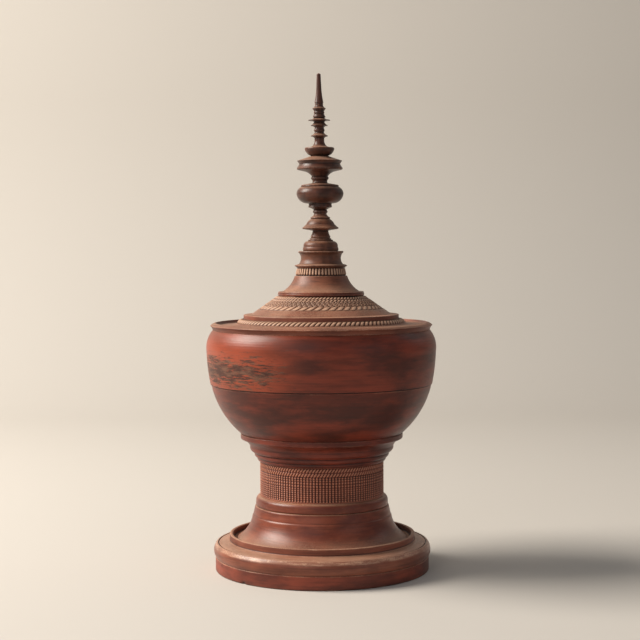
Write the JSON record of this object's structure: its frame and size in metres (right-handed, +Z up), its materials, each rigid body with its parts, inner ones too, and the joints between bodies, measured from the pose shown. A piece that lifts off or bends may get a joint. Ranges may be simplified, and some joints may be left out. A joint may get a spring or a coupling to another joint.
{
  "type": "hsun ok offering vessel",
  "caption": "Footed round lacquered wooden vessel with a lift-out tray, a deep lift-off lid and a tall turned spire, for carrying food offerings.",
  "frame": {"origin": "middle of the foot's underside, on the turning axis", "axes": "+Z up along the turning axis, -Y towards the picture's viewer"},
  "size_m": [0.2782, 0.2782, 0.6],
  "materials": {
    "red_lacquer": "worn red lacquer over black, satin",
    "waist_lacquer": "orange red lacquer, satin, dusty",
    "relief_lacquer": "moulded lacquer relief, rubbed",
    "dusty_lacquer": "dusty brown lacquer, matt",
    "dark_lacquer": "very dark red brown lacquer, satin",
    "black_lacquer": "black lacquer, satin",
    "bare_wood": "bare turned wood"
  },
  "bodies": {
    "stand_and_bowl": {"foot_plinth": "dusty_lacquer", "foot_moulding": "dusty_lacquer", "foot_rim_ring": "dusty_lacquer", "waist_skirt": "waist_lacquer", "waist_ring": "waist_lacquer", "waist_drum": "waist_lacquer", "rib_sleeve": "relief_lacquer", "neck_moulding": "red_lacquer", "bowl_collar": "red_lacquer", "stand_core": "bare_wood", "bowl": "red_lacquer", "bowl_hoop": "black_lacquer"},
    "tray": {"tray_dish": "black_lacquer", "tray_rim": "black_lacquer"},
    "lid": {"lid_drum": "red_lacquer", "lid_plate": "dusty_lacquer", "rope_ring": "relief_lacquer", "lid_step": "dusty_lacquer", "lid_cone": "waist_lacquer", "cone_relief": "relief_lacquer", "cone_cap": "waist_lacquer", "bell_tier": "dusty_lacquer", "petal_band": "relief_lacquer", "spire_drum": "dark_lacquer"},
    "spire": {"shoulder_dome": "dark_lacquer", "parasol_tier": "dark_lacquer", "spire_bulb": "dark_lacquer", "spool_tier": "dark_lacquer", "cup_tier": "dark_lacquer", "stem_tier": "dark_lacquer", "crown_tier": "dark_lacquer", "spire_needle": "dark_lacquer", "finial_spindle": "bare_wood"}
  },
  "joints": [
    {"name": "tray_lift", "type": "slide", "parent": "stand_and_bowl", "child": "tray", "axis": [0, 0, 1], "range_m": [0, 0.08]},
    {"name": "lid_lift", "type": "slide", "parent": "tray", "child": "lid", "axis": [0, 0, 1], "range_m": [0, 0.16]},
    {"name": "finial_lift", "type": "slide", "parent": "lid", "child": "spire", "axis": [0, 0, 1], "range_m": [0, 0.045]}
  ]
}
